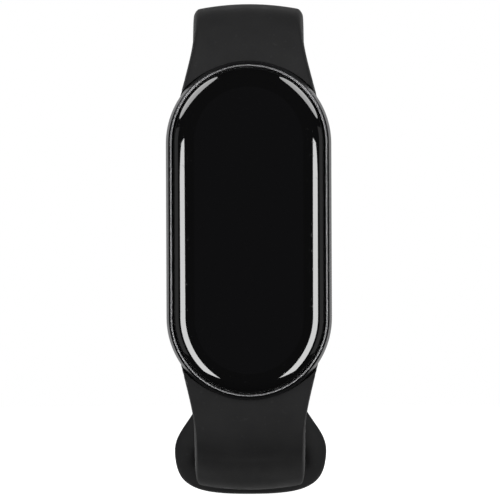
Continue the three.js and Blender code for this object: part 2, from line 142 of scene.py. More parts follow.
# the strap's width and thickness near the capsule, and its two layers through the ring
FLARE_WIDTH = 1.25
FLARE_FROM = 1.4
FLARE_LENGTH = 8.0
SWELL_FALLS = (6.5, 21)
RING_WIDENS = (RING_WIDEST - 8, RING_WIDEST)
RING_ROUNDS = (RING_WIDEST - 9, RING_WIDEST - 3)
RING_THICKENS = (RING_WIDEST - 7.5, RING_WIDEST - 1.5)
RING_THINS = (RING_WIDEST + 4.5, RING_WIDEST + 12.5)
UPPER_DIPS = (30, TAIL_TIP + 7)
UPPER_CROSSES = (EYE_CENTRE - 5.5, EYE_CENTRE + 5.5)
LOWER_CROSSES = (EYE_CENTRE - 4.5, EYE_CENTRE + 4.5)
LOWER_SETTLES = (EYE_CENTRE + 14, EYE_CENTRE + 22.5)
TAIL_NARROWS = (EYE_CENTRE + 12, EYE_CENTRE + 30)

# how far each rounding reaches in from its edge
UPPER_EDGE = 0.8
LOWER_EDGE = 0.4
INNER_EDGE = 0.8
RING_EDGE = 2.4
END_ROUNDING = 0.15
EYE_ROUNDING = 1.1
EYE_DISH = 2.4
HOLE_ROUNDING = 0.45
CROWN_DROP = 0.0145

# mesh pitches
OUTLINE_PITCH = 0.6
EYE_PITCH = 0.45
SHEET_PITCH = 0.75
RIM_STEPS = (0.03, 0.1, 0.22, 0.4, 0.65, 0.95, 1.3, 1.75)
RIM_CLEARANCE = 0.02
SHARP_ANGLE = math.radians(42)


def smoothstep(x, low, high):
    t = np.clip((np.asarray(x, float) - low) / (high - low), 0, 1)
    return t * t * (3 - 2 * t)


# ---------------------------------------------------------------- the loop

TOP_RADIUS = (LOOP_TOP - STRAP_REACH) / (1 - math.sin(LEAVE))
FRONT_RADIUS = (-STRAP_REACH - LOOP_BOTTOM) / (1 - math.sin(LEAVE))
TOP_Y = STRAP_Y + TOP_RADIUS * math.cos(LEAVE)
BOTTOM_Y = STRAP_Y + FRONT_RADIUS * math.cos(LEAVE)
BACK_RADIUS = LOOP_BACK - TOP_Y
LONG, SHORT = math.sqrt(0.5), 1 - math.sqrt(0.5)
CORNER_TOP = LOOP_BOTTOM + LONG * CORNER_RADIUS + SHORT * UNDER_RADIUS
CORNER_FRONT = LOOP_BACK - SHORT * CORNER_RADIUS - LONG * UNDER_RADIUS
QUARTER, EIGHTH = math.pi / 2, math.pi / 4
COURSE = [  # radius (None on a straight) and length
    (TOP_RADIUS, TOP_RADIUS * (QUARTER - LEAVE)),
    (BACK_RADIUS, BACK_RADIUS * QUARTER),
    (None, LOOP_TOP - BACK_RADIUS - CORNER_TOP),
    (CORNER_RADIUS, CORNER_RADIUS * EIGHTH),
    (UNDER_RADIUS, UNDER_RADIUS * EIGHTH),
    (None, CORNER_FRONT - BOTTOM_Y),
    (FRONT_RADIUS, FRONT_RADIUS * (QUARTER - LEAVE)),
]
LOOP_LENGTH = sum(length for _, length in COURSE)


def loop_at(place):
    """The mid-line's y, z and heading at places along it. The heading runs from +Z towards +Y."""
    left = np.array(place, float)
    y = np.full(left.shape, STRAP_Y)
    z = np.full(left.shape, STRAP_REACH)
    heading = np.full(left.shape, LEAVE)
    for i, (radius, length) in enumerate(COURSE):
        low = -1e9 if i == 0 else 0
        high = 1e9 if i == len(COURSE) - 1 else length
        step = np.clip(left, low, high)
        if radius is None:
            y += step * np.sin(heading)
            z += step * np.cos(heading)
        else:
            after = heading + step / radius
            y += radius * (np.cos(heading) - np.cos(after))
            z += radius * (np.sin(after) - np.sin(heading))
            heading = after
        left = left - step
    return y, z, heading


def wrap(across, out, place):
    """Points at (across, out from the mid-line, place along the loop), as an N by 3 array."""
    y, z, heading = loop_at(place)
    return np.stack([across, y - out * np.cos(heading), z + out * np.sin(heading)], axis=-1)


# ---------------------------------------------------------------- meshes

def new_object(name, vertices, faces, material, body=None, smooth=True):
    """A mesh object from points in millimetres, riding on a body if one is named."""
    mesh = bpy.data.meshes.new(name)
    mesh.from_pydata([Vector(v) * MM for v in vertices], [], faces)
    bm = bmesh.new()
    bm.from_mesh(mesh)
    bmesh.ops.remove_doubles(bm, verts=bm.verts, dist=1e-7)
    bmesh.ops.dissolve_degenerate(bm, edges=bm.edges, dist=1e-8)
    bmesh.ops.recalc_face_normals(bm, faces=bm.faces)
    bmesh.ops.delete(bm, geom=[v for v in bm.verts if not v.link_faces], context="VERTS")
    bm.to_mesh(mesh)
    bm.free()
    for polygon in mesh.polygons:
        polygon.use_smooth = smooth
    obj = bpy.data.objects.new(name, mesh)
    bpy.context.scene.collection.objects.link(obj)
    mesh.materials.append(material)
    if body:
        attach(obj, body)
    return obj


def weighted(obj):
    """Flat faces keep their shading next to small rounded edges."""
    modifier = obj.modifiers.new("even_normals", "WEIGHTED_NORMAL")
    modifier.mode = "FACE_AREA"
    modifier.weight = 80
    modifier.keep_sharp = True


def fillet(corners, closed=False, steps=5):
    """A profile of [radius, depth, rounding] corners as points, each corner rounded by its own radius."""
    points = []
    count = len(corners)
    for i, corner in enumerate(corners):
        here, rounding = Vector(corner[:2]), corner[2] if len(corner) > 2 else 0
        if rounding == 0 or (not closed and i in (0, count - 1)):
            points.append(tuple(here))
            continue
        before = (Vector(corners[i - 1][:2]) - here).normalized()
        after = (Vector(corners[(i + 1) % count][:2]) - here).normalized()
        half = math.acos(max(-1, min(1, before.dot(after)))) / 2
        reach = rounding / math.tan(half)
        centre = here + (before + after).normalized() * rounding / math.sin(half)
        first, last = here + before * reach - centre, here + after * reach - centre
        turn = math.atan2(first.x * last.y - first.y * last.x, first.dot(last))
        start = math.atan2(first.y, first.x)
        for k in range(steps + 1):
            angle = start + turn * k / steps
            points.append((centre.x + rounding * math.cos(angle), centre.y + rounding * math.sin(angle)))
    return points


def pill_outline(sides=128, along=16):
    """Directions round a pill as (x, z, end). The end is 1 or -1, or a share between on the straights."""
    half = sides // 2
    rows = [(math.cos(a), math.sin(a), 1) for a in np.linspace(0, math.pi, half + 1)]
    rows += [(-1, 0, 1 - 2 * k / along) for k in range(1, along)]
    rows += [(math.cos(a), math.sin(a), -1) for a in np.linspace(math.pi, 2 * math.pi, half + 1)]
    rows += [(1, 0, 2 * k / along - 1) for k in range(1, along)]
    return rows


def pill(name, profile, material, body="band", straight=STRAIGHT, closed=False):
    """A profile of [radius, depth behind the glass's crown] carried round a pill outline."""
    outline = pill_outline()
    vertices = [
        (x * r, FRONT_Y + depth, z * r + end * straight / 2)
        for r, depth in profile
        for x, z, end in outline
    ]
    around, rows = len(outline), len(profile)
    last = rows if closed else rows - 1
    faces = []
    for j in range(last):
        for i in range(around):
            k, below = (i + 1) % around, (j + 1) % rows
            faces.append((j * around + i, j * around + k, below * around + k, below * around + i))
    return new_object(name, vertices, faces, material, body)


def lathe(name, profile, material, body, place_at, sides=64):
    """A profile of [radius, height] turned about an axis. place_at puts (x, height, z) where it belongs."""
    vertices = []
    for r, height in profile:
        for k in range(sides):
            a = 2 * math.pi * k / sides
            vertices.append(place_at(r * math.cos(a), height, r * math.sin(a)))
    faces = []
    for j in range(len(profile) - 1):
        for i in range(sides):
            k = (i + 1) % sides
            faces.append((j * sides + i, j * sides + k, (j + 1) * sides + k, (j + 1) * sides + i))
    return new_object(name, vertices, faces, material, body)


def stacked(name, loops, material, body=None):
    """A closed mesh from rings of points laid one after another, with a flat face at each end."""
    count = len(loops[0])
    faces = [tuple(range(count)), tuple(range((len(loops) - 1) * count, len(loops) * count))]
    for j in range(len(loops) - 1):
        for i in range(count):
            k = (i + 1) % count
            faces.append((j * count + i, j * count + k, (j + 1) * count + k, (j + 1) * count + i))
    return new_object(name, np.vstack(loops), faces, material, body)


def cut(piece, tool):
    """Take one closed mesh out of another, and throw the tool away."""
    modifier = piece.modifiers.new("cut", "BOOLEAN")
    modifier.operation, modifier.object, modifier.solver = "DIFFERENCE", tool, "EXACT"
    depsgraph = bpy.context.evaluated_depsgraph_get()
    mesh = bpy.data.meshes.new_from_object(piece.evaluated_get(depsgraph))
    piece.modifiers.clear()
    piece.data = mesh
    mesh.set_sharp_from_angle(angle=SHARP_ANGLE)
    bpy.data.objects.remove(tool)


# ---------------------------------------------------------------- materials

class Nodes:
    """A short way to write a material's node tree."""

    def __init__(self, name):
        self.material = bpy.data.materials.new(name)
        self.material.use_nodes = True
        self.tree = self.material.node_tree
        self.shader = self.tree.nodes["Principled BSDF"]
        self.place = self.add("ShaderNodeTexCoord").outputs["Object"]

    def add(self, kind, **settings):
        node = self.tree.nodes.new(kind)
        for key, value in settings.items():
            setattr(node, key, value)
        return node

    def link(self, source, target):
        if isinstance(source, (int, float)):
            target.default_value = source
        else:
            self.tree.links.new(source, target)

    def shade(self, socket, source):
        self.link(source, self.shader.inputs[socket])

    def set(self, **values):
        for key, value in values.items():
            self.shader.inputs[key.replace("_", " ")].default_value = value

    def noise(self, per_mm, detail=2.0, roughness=0.5, stretch=(1, 1, 1)):
        mapping = self.add("ShaderNodeMapping")
        mapping.inputs["Scale"].default_value = [s * per_mm / MM for s in stretch]
        self.link(self.place, mapping.inputs["Vector"])
        node = self.add("ShaderNodeTexNoise")
        node.inputs["Scale"].default_value = 1.0
        node.inputs["Detail"].default_value = detail
        node.inputs["Roughness"].default_value = roughness
        self.link(mapping.outputs["Vector"], node.inputs["Vector"])
        return node.outputs["Fac"]

    def cells(self, per_mm):
        node = self.add("ShaderNodeTexVoronoi")
        node.inputs["Scale"].default_value = per_mm / MM
        self.link(self.place, node.inputs["Vector"])
        return node.outputs["Distance"]

    def remap(self, value, low, high, to_low, to_high):
        node = self.add("ShaderNodeMapRange")
        for key, number in (("From Min", low), ("From Max", high), ("To Min", to_low), ("To Max", to_high)):
            node.inputs[key].default_value = number
        self.link(value, node.inputs["Value"])
        return node.outputs["Result"]

    def math(self, operation, a, b=0.0):
        node = self.add("ShaderNodeMath", operation=operation)
        self.link(a, node.inputs[0])
        self.link(b, node.inputs[1])
        return node.outputs[0]

    def mix(self, factor, low, high):
        node = self.add("ShaderNodeMix", data_type="RGBA")
        self.link(factor, node.inputs["Factor"])
        for socket, colour in ((node.inputs["A"], low), (node.inputs["B"], high)):
            if isinstance(colour, tuple):
                socket.default_value = (*colour, 1)
            else:
                self.tree.links.new(colour, socket)
        return node.outputs["Result"]

    def bump(self, height, distance_mm, strength=1.0, onto=None):
        node = self.add("ShaderNodeBump")
        node.inputs["Strength"].default_value = strength
        node.inputs["Distance"].default_value = distance_mm * MM
        self.link(height, node.inputs["Height"])
        if onto is not None:
            self.link(onto, node.inputs["Normal"])
        return node.outputs["Normal"]

    def split(self):
        node = self.add("ShaderNodeSeparateXYZ")
        self.link(self.place, node.inputs[0])
        return node.outputs


def strap_material():
    """Matte moulded elastomer: a fine spark-eroded grain, faint flow marks and handling shine."""
    n = Nodes("strap_elastomer")
    patches = n.noise(0.12, 3, 0.6)
    flow = n.noise(0.35, 2, 0.5, (1, 0.35, 0.35))
    grain = n.cells(5.5)
    fine = n.noise(9, 2, 0.6)
    tone = n.mix(n.remap(patches, 0.35, 0.65, 0, 1), (0.024, 0.024, 0.0245), (0.029, 0.029, 0.0295))
    lint = n.remap(n.noise(2.2, 0, 0.5), 0.74, 0.8, 0, 0.15)
    n.shade("Base Color", n.mix(lint, tone, (0.06, 0.06, 0.06)))
    worn = n.math("ADD", n.remap(flow, 0.3, 0.7, 0.5, 0.58), n.remap(fine, 0.3, 0.7, 0, 0.12))
    n.shade("Roughness", worn)
    coarse = n.bump(grain, 0.02, 0.35)
    n.shade("Normal", n.bump(fine, 0.012, 0.4, coarse))
    n.set(Specular_IOR_Level=0.14)
    return n.material


def segment_distance(n, half_straight):
    """Distance, in metres, from the upright segment in the middle of a pill."""
    x, _, z = n.split()
    over = n.math("MAXIMUM", n.math("SUBTRACT", n.math("ABSOLUTE", z), half_straight * MM), 0.0)
    return n.math("SQRT", n.math("ADD", n.math("MULTIPLY", x, x), n.math("MULTIPLY", over, over)))


def frame_material():
    """Dark coated metal with a grainy gloss. The lip round the glass is painted a lighter grey: a painted
    highlight for the light its rounded edge catches.
    """
    n = Nodes("frame_coated_metal")
    grain = n.noise(7, 3, 0.65)
    patches = n.noise(0.25, 2, 0.5)
    coat = n.mix(patches, (0.035, 0.035, 0.038), (0.055, 0.055, 0.058))
    reach = segment_distance(n, STRAIGHT / 2)
    # painted highlight: the lip gets a lighter base colour in place of the light its rounding catches
    lip_highlight_mask = n.remap(reach, (LIP_RADIUS - 0.03) * MM, (LIP_RADIUS + 0.03) * MM, 1, 0)
    lip_highlight_colour = n.mix(n.remap(grain, 0.35, 0.65, 0, 1), (0.08, 0.08, 0.082), (0.24, 0.24, 0.245))
    n.shade("Base Color", n.mix(lip_highlight_mask, coat, lip_highlight_colour))
    n.shade("Roughness", n.math("ADD", n.remap(grain, 0.3, 0.7, 0.14, 0.3), n.math("MULTIPLY", lip_highlight_mask, 0.2)))
    n.shade("Normal", n.bump(grain, 0.008, 0.35))
    n.set(Metallic=0.85, Specular_IOR_Level=0.6)
    return n.material


EDGE_SOFTNESS = 0.05
ACTIVE_RADIUS = 7.1
ACTIVE_HALF_STRAIGHT = 11.6


def glass_material():
    """Black-backed cover glass: the panel's active area is a shade lighter than the printed border."""
    n = Nodes("cover_glass_black")
    reach = segment_distance(n, ACTIVE_HALF_STRAIGHT)
    border = n.remap(reach, (ACTIVE_RADIUS - EDGE_SOFTNESS) * MM, (ACTIVE_RADIUS + EDGE_SOFTNESS) * MM, 0, 1)
    n.shade("Base Color", n.mix(border, (0.0052, 0.0052, 0.0056), (0.0042, 0.0042, 0.0044)))
    smears = n.noise(0.18, 4, 0.6, (1, 1, 0.5))
    dust = n.remap(n.noise(3.0, 0), 0.76, 0.8, 0, 0.12)
    n.shade("Roughness", n.math("ADD", n.remap(smears, 0.4, 0.75, 0.012, 0.05), dust))
    n.set(IOR=1.5, Specular_IOR_Level=0.5)
    return n.material


def case_material():
    """Satin moulded plastic with a fine texture."""
    n = Nodes("case_plastic_satin")
    grain = n.noise(8, 3, 0.6)
    patches = n.noise(0.2, 2)
    n.shade("Base Color", n.mix(patches, (0.011, 0.011, 0.012), (0.016, 0.016, 0.017)))
    worn = n.remap(patches, 0.3, 0.7, 0, 0.06)
    n.shade("Roughness", n.math("ADD", n.remap(grain, 0.3, 0.7, 0.3, 0.42), worn))
    n.shade("Normal", n.bump(grain, 0.01, 0.4))
    return n.material


def polished_material():
    """Polished dark moulding with hairline scratches, for the stud."""
    n = Nodes("stud_polished")
    hair = n.noise(4, 3, 0.7, (1, 8, 1))
    n.shade("Base Color", n.mix(n.noise(0.6), (0.016, 0.016, 0.017), (0.024, 0.024, 0.025)))
    n.shade("Roughness", n.remap(hair, 0.3, 0.7, 0.26, 0.42))
    n.shade("Normal", n.bump(hair, 0.004, 0.3))
    return n.material


def sensor_material():
    """Smoked window over the optical sensor."""
    n = Nodes("sensor_glass_smoked")
    smears = n.noise(0.3, 3, 0.6)
    n.shade("Base Color", n.mix(smears, (0.02, 0.02, 0.022), (0.03, 0.03, 0.034)))
    n.shade("Roughness", n.remap(smears, 0.35, 0.7, 0.02, 0.07))
    n.set(IOR=1.5)
    return n.material


def metal_material(name, low, high, rough_low, rough_high, brush=(1, 1, 12)):
    n = Nodes(name)
    brushed = n.noise(1.5, 4, 0.65, brush)
    n.shade("Base Color", n.mix(brushed, low, high))
    n.shade("Roughness", n.remap(brushed, 0.3, 0.7, rough_low, rough_high))
    n.shade("Normal", n.bump(brushed, 0.005, 0.3))
    n.set(Metallic=1.0)
    return n.material


def plastic_material(name, low, high, rough=0.5, grain_per_mm=5.0):
    n = Nodes(name)
    grain = n.noise(grain_per_mm, 3, 0.6)
    n.shade("Base Color", n.mix(n.noise(0.5, 2), low, high))
    n.shade("Roughness", n.remap(grain, 0.3, 0.7, rough - 0.08, rough + 0.08))
    n.shade("Normal", n.bump(grain, 0.01, 0.4))
    return n.material


def board_material():
    """Solder mask over copper tracks."""
    n = Nodes("board_solder_mask")
    tracks = n.add("ShaderNodeTexBrick")
    tracks.inputs["Scale"].default_value = 0.5 / MM
    tracks.inputs["Mortar Size"].default_value = 0.06
    turned = n.add("ShaderNodeMapping")
    turned.inputs["Rotation"].default_value = (math.pi / 2, 0, 0)
    n.link(n.place, turned.inputs["Vector"])
    n.link(turned.outputs["Vector"], tracks.inputs["Vector"])
    n.shade("Base Color", n.mix(tracks.outputs["Fac"], (0.008, 0.05, 0.028), (0.02, 0.11, 0.055)))
    n.shade("Roughness", n.remap(n.noise(1.2), 0.3, 0.7, 0.3, 0.45))
    n.shade("Normal", n.bump(tracks.outputs["Fac"], 0.02, 0.5))
    return n.material


STRAP = strap_material()
FRAME_METAL = frame_material()
GLASS = glass_material()
CASE = case_material()
STUD = polished_material()
SENSOR = sensor_material()
CONNECTOR = plastic_material("connector_moulded", (0.014, 0.014, 0.015), (0.02, 0.02, 0.021), 0.42)
GOLD = metal_material("contact_plated", (0.7, 0.47, 0.17), (0.85, 0.62, 0.28), 0.12, 0.28, (1, 1, 1))

SLOT_MATERIALS = {
    "board_green": board_material(),
    "steel": metal_material("inner_steel", (0.45, 0.46, 0.47), (0.62, 0.63, 0.64), 0.2, 0.38),
    "cell_foil": metal_material("cell_foil", (0.5, 0.52, 0.55), (0.62, 0.64, 0.67), 0.28, 0.45, (6, 1, 1)),
    "contact_gold": GOLD,
    "display_black": plastic_material(
        "display_panel_dark", (0.004, 0.004, 0.006), (0.008, 0.008, 0.011), 0.18),
    "case_plastic": CASE,
    "connector_plastic": CONNECTOR,
    "chassis_plastic": plastic_material("chassis_moulded", (0.035, 0.035, 0.038), (0.05, 0.05, 0.054)),
    "seal_rubber": plastic_material("seal_silicone", (0.008, 0.008, 0.008), (0.014, 0.014, 0.014), 0.75, 9.0),
    "chip_black": plastic_material("chip_package", (0.01, 0.01, 0.012), (0.018, 0.018, 0.02), 0.4, 8.0),
    "flex_amber": plastic_material("flex_polyimide", (0.18, 0.07, 0.012), (0.28, 0.12, 0.03), 0.35, 3.0),
    "led_clear": plastic_material("led_lens", (0.25, 0.6, 0.3), (0.4, 0.8, 0.45), 0.15, 3.0),
    "strap_rubber": STRAP,
    "frame_metal": FRAME_METAL,
    "cover_glass": GLASS,
    "sensor_glass": SENSOR,
    "stud_plastic": STUD,
}


def dress_cad_nodes():
    """Every carried-over CAD node takes its slot's procedural material."""
    for part in frame["record"]["subparts"]:
        mesh = frame["nodes"][part["node"]].data
        mesh.materials.clear()
        mesh.materials.append(SLOT_MATERIALS[part["material_slot"]])


# ---------------------------------------------------------------- strap surfaces

def flare(from_capsule):
    return HALF_WIDTH + FLARE_WIDTH * np.maximum(0, 1 - (from_capsule - FLARE_FROM) / FLARE_LENGTH) ** 2


def swell(from_capsule):
    return HALF_THICK + (ROOT_HALF_THICK - HALF_THICK) * (1 - smoothstep(from_capsule, *SWELL_FALLS))


def ring_body(place):
    return smoothstep(place, *RING_THICKENS) * (1 - smoothstep(place, *RING_THINS))


def upper_layer(place):
    """How far out the upper half runs: under the tail it lies inside, and past the eye outside."""
    return LAYER * (2 * smoothstep(place, *UPPER_CROSSES) - smoothstep(place, *UPPER_DIPS))


def lower_layer(place):
    """How far out the lower half runs: inside before the eye, and outside as the tail."""
    return LAYER * (1 - 2 * smoothstep(place, *LOWER_CROSSES) + smoothstep(place, *LOWER_SETTLES))


def superellipse_points(half_width, half_length, power, count):
    angles = np.linspace(0, 2 * math.pi, count, endpoint=False)
    c, s = np.cos(angles), np.sin(angles)
    x = np.sign(c) * np.abs(c) ** (2 / power) * half_width
    y = np.sign(s) * np.abs(s) ** (2 / power) * half_length
    return np.stack([x, y], axis=-1)


def resample(loop, pitch):
    """Points at an even pitch along a closed polyline."""
    path = np.vstack([loop, loop[:1]])
    lengths = np.concatenate([[0], np.cumsum(np.linalg.norm(np.diff(path, axis=0), axis=1))])
    count = max(8, int(round(lengths[-1] / pitch)))
    at = np.linspace(0, lengths[-1], count, endpoint=False)
    return np.stack([np.interp(at, lengths, path[:, k]) for k in (0, 1)], axis=-1)


def inward(loop, distance):
    """A closed loop moved towards its left by a distance, along its own normals."""
    along = np.roll(loop, -1, axis=0) - np.roll(loop, 1, axis=0)
    along /= np.linalg.norm(along, axis=1)[:, None]
    return loop + distance * np.stack([-along[:, 1], along[:, 0]], axis=-1)


def distance_to(points, loop):
    """Distance from each point to a closed polyline."""
    a, b = loop, np.roll(loop, -1, axis=0)
    best = np.full(len(points), 1e9)
    ab = b - a
    squared = (ab ** 2).sum(1) + 1e-12
    for start in range(0, len(points), 2000):
        chunk = points[start:start + 2000, None, :]
        t = np.clip(((chunk - a) * ab).sum(2) / squared, 0, 1)
        near = a + t[..., None] * ab
        best[start:start + 2000] = np.linalg.norm(chunk - near, axis=2).min(1)
    return best


def inside(points, loop):
    """Whether each point lies inside a closed polyline."""
    x, y = points[:, 0][:, None], points[:, 1][:, None]
    ax, ay = loop[:, 0], loop[:, 1]
    bx, by = np.roll(ax, -1), np.roll(ay, -1)
    crosses = (ay > y) != (by > y)
    at = ax + (y - ay) * (bx - ax) / np.where(by == ay, 1e-9, by - ay)
    return (crosses & (x < at)).sum(1) % 2 == 1


def on_sheet(points, outline, holes):
    """Whether each point lies inside the outline and outside every hole."""
    return inside(points, outline) & ~np.any([inside(points, hole) for hole in holes], axis=0)


def sheet_points(outline, holes):
    """The flat sheet's points and triangles: loops close to every edge, and a grid between."""
    loops = (outline, *holes)

    def clear(points, margin):
        keep = on_sheet(points, outline, holes)
        for loop in loops:
            keep &= distance_to(points, loop) > margin
        return points[keep]

    constraint, offset = [], 0
    for loop in loops:
        count = len(loop)
        constraint += [(offset + i, offset + (i + 1) % count) for i in range(count)]
        offset += count
    rims = []
    for step in RIM_STEPS:
        rims.append(inward(outline, step))
        rims += [inward(hole, -step) for hole in holes]
    low, high = outline.min(0), outline.max(0)
    columns, rows = (np.arange(low[k], high[k], SHEET_PITCH) for k in (0, 1))
    grid = np.stack(np.meshgrid(columns, rows, indexing="ij"), axis=-1).reshape(-1, 2)
    grid[:, 1] += (np.round((grid[:, 0] - low[0]) / SHEET_PITCH) % 2) * SHEET_PITCH / 2
    rims = clear(np.vstack(rims), RIM_CLEARANCE)
    grid = clear(grid, RIM_STEPS[-1] + SHEET_PITCH / 2)
    every = np.vstack([*loops, rims, grid])
    made = delaunay_2d_cdt([Vector(p) for p in every], constraint, [], 1, 1e-5)
    flat, triangles = np.array([tuple(p) for p in made[0]]), np.array(made[2])
    return flat, triangles[on_sheet(flat[triangles].mean(1), outline, holes)]


def edge_points(triangles):
    """The points on edges that only one triangle has."""
    edges = np.sort(np.vstack([triangles[:, [0, 1]], triangles[:, [1, 2]], triangles[:, [2, 0]]]), axis=1)
    pairs, times = np.unique(edges, axis=0, return_counts=True)
    return np.unique(pairs[times == 1])


def rounded(distance, radius):
    """How full a section is at a distance from its edge: 0 on the edge, 1 from the radius inwards."""
    u = 1 - np.clip(distance / radius, 0, 1)
    return np.sqrt(np.maximum(0, 1 - u ** 2))


def on_capsule(place, across, out, from_top):
    """Move places near the capsule so that the strap's end meets the capsule's rounded side."""
    radius = TOP_RADIUS if from_top else FRONT_RADIUS
    before_wall = np.clip(WALL_DEPTH - (STRAP_Y - out - FRONT_Y), 0, WALL_REACH)
    contact = OUTER + CAPSULE_GAP - WALL_SLOPE * before_wall
    reach = STRAIGHT / 2 + np.sqrt(contact ** 2 - across ** 2)
    rise = (reach - STRAP_REACH + radius * math.sin(LEAVE)) / (radius + out)
    end = radius * (np.arcsin(np.clip(rise, -1, 1)) - LEAVE)
    along = place if from_top else LOOP_LENGTH - place
    moved = np.where(along < WARP_END, end + along / WARP_END * (WARP_END - end), along)
    return moved if from_top else LOOP_LENGTH - moved


def strap_piece(name, outline, holes, roundings, section, from_top):
    """One strap half: a flat sheet given its crowned section, then wrapped round the loop."""
    flat, triangles = sheet_points(outline, holes)
    across, place = flat[:, 0], flat[:, 1]
    from_side = distance_to(flat, section["side_edge"])
    thick, layer, ring = section["half_thick"](place), section["layer"](place), section["ring"](place)
    up = rounded(from_side, section["edge"] + (RING_EDGE - section["edge"]) * ring)
    down = rounded(from_side, INNER_EDGE + (RING_EDGE - INNER_EDGE) * ring)
    from_end = place if from_top else LOOP_LENGTH - place
    nose = rounded(from_end, END_ROUNDING)
    up, down = up * nose, down * nose
    for hole in holes:
        from_hole = distance_to(flat, hole)
        up = up * rounded(from_hole, roundings[0])
        down = down * rounded(from_hole, roundings[1])
    share = CROWN + (0.5 - CROWN) * ring
    crown = CROWN_DROP * across ** 2 * (1 - ring)
    rim_out = layer + thick * (1 - 2 * share)
    outer = rim_out + (2 * thick * share - crown) * up
    inner = rim_out - 2 * thick * (1 - share) * down
    edge = edge_points(triangles)
    inner[edge] = outer[edge] = rim_out[edge]
    shells = [wrap(across, out, on_capsule(place, across, out, from_top)) for out in (outer, inner)]
    size = len(flat)
    back = np.arange(size) + size
    back[edge] = edge
    faces = np.vstack([triangles, back[triangles][:, ::-1]]).tolist()
    obj = new_object(name, np.vstack(shells), faces, STRAP)
    return obj


def upper_half_width(place):
    place = np.asarray(place, float)
    widening = (RING_HALF_WIDTH - HALF_WIDTH) * smoothstep(place, *RING_WIDENS)
    tip = np.clip((place - RING_WIDEST) / RING_TIP_LENGTH, 0, 1)
    return np.where(place > RING_WIDEST, RING_HALF_WIDTH * np.sqrt(1 - tip ** 2), flare(place) + widening)


def lower_half_width(place):
    narrowing = (HALF_WIDTH - TAIL_HALF_WIDTH) * (1 - smoothstep(place, *TAIL_NARROWS))
    tip = np.clip((TAIL_TIP + TAIL_HALF_WIDTH - place) / TAIL_HALF_WIDTH, 0, 1)
    return (flare(LOOP_LENGTH - place) - narrowing) * np.sqrt(1 - tip ** 2)


def symmetric_outline(half_width, places):
    """Half widths at places as a closed loop."""
    right = np.stack([half_width(places), places], axis=-1)
    left = right[::-1] * (-1, 1)
    return np.vstack([right, left])


def anticlockwise(loop):
    x, y = loop[:, 0], loop[:, 1]
    area = (x * np.roll(y, -1) - np.roll(x, -1) * y).sum()
    return loop if area > 0 else loop[::-1]


def button_outline(place, inset, out):
    """The release button's outline on the loop, drawn in by an inset, at a height from the mid-line."""
    size = (BUTTON_HALF_WIDTH - inset, BUTTON_HALF_LENGTH - inset)
    loop = superellipse_points(*size, BUTTON_POWER, 64)
    return wrap(loop[:, 0], np.full(len(loop), out), place + loop[:, 1])


def button_well(place):
    """The hollow on the wrist's side that a release button slides in."""
    return stacked("well", [button_outline(place, -BUTTON_GAP, out) for out in (-8, BUTTON_BASE + 1)], STRAP)


def release_button(name, place, body, node):
    proud = -float(swell(BUTTON_PLACE)) - 0.2
    profile = fillet([
        (0.1, BUTTON_BASE), (0, BUTTON_BASE - 0.1), (0, proud, 0.25), (0.7, proud), (1.1, proud + 0.06),
    ])
    piece = stacked(name, [button_outline(place, inset, out) for inset, out in profile], CONNECTOR, body)
    weighted(piece)
    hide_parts(node)


def on_stud(x, height, z):
    """The stud's own axes, square to the loop at its place."""
    middle_y, middle_z, heading = loop_at(STUD_PLACE)
    lean, rise = math.cos(heading), math.sin(heading)
    return x, middle_y - height * lean + z * rise, middle_z + height * rise + z * lean


def stud():
    """A thin flange behind the band, a post through it and a domed head outside."""
    flange_top = STUD_LOW + STUD_FLANGE_THICK
    profile = fillet([
        (0, STUD_LOW), (2.3, STUD_LOW + 0.02, 4), (STUD_FLANGE_RADIUS, STUD_LOW + 0.15, 0.15),
        (STUD_FLANGE_RADIUS, flange_top, 0.15), (STUD_POST_RADIUS, flange_top, 0.2),
        (STUD_POST_RADIUS, STUD_HEAD, 0.1), (1.7, STUD_HEAD, 0.12), (1.7, STUD_HEAD + 0.35, 0.25),
        (1.2, STUD_HEAD + 0.75, 0.5), (0, STUD_HEAD + 0.85),
    ])
    piece = lathe("stud", profile, STUD, "band", on_stud)
    weighted(piece)
    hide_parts("clasp_stud")


def stud_seat():
    """The hollow that the stud's flange lies in."""
    radius, top = STUD_FLANGE_RADIUS + 0.2, STUD_LOW + STUD_FLANGE_THICK + 0.1
    return lathe("seat", [(0, -6), (radius, -6), (radius, top), (0, top)], STRAP, None, on_stud)


def upper_band():
    """The half at twelve o'clock, with the ring and its eye at the end."""
    tip = RING_WIDEST + RING_TIP_LENGTH * np.sin(np.linspace(0, QUARTER, 40))
    places = np.concatenate([np.arange(0, RING_WIDEST, OUTLINE_PITCH), tip])
    outline = anticlockwise(resample(symmetric_outline(upper_half_width, places), OUTLINE_PITCH))
    beyond = np.arange(-20, RING_WIDEST, OUTLINE_PITCH)
    eye = anticlockwise(superellipse_points(EYE_HALF_WIDTH, EYE_HALF_LENGTH, 4, 400) + (0, EYE_CENTRE))
    section = {
        "side_edge": symmetric_outline(upper_half_width, np.concatenate([beyond, tip])),
        "edge": UPPER_EDGE,
        "half_thick": lambda place: swell(place) + RING_EXTRA_THICK * ring_body(place),
        "layer": upper_layer,
        "ring": lambda place: smoothstep(place, *RING_ROUNDS),
    }
    roundings = (EYE_ROUNDING, EYE_DISH)
    piece = strap_piece("upper_band", outline, [resample(eye, EYE_PITCH)], roundings, section, True)
    cut(piece, button_well(BUTTON_PLACE))
    cut(piece, stud_seat())
    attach(piece, "band")
    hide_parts("upper_strap")


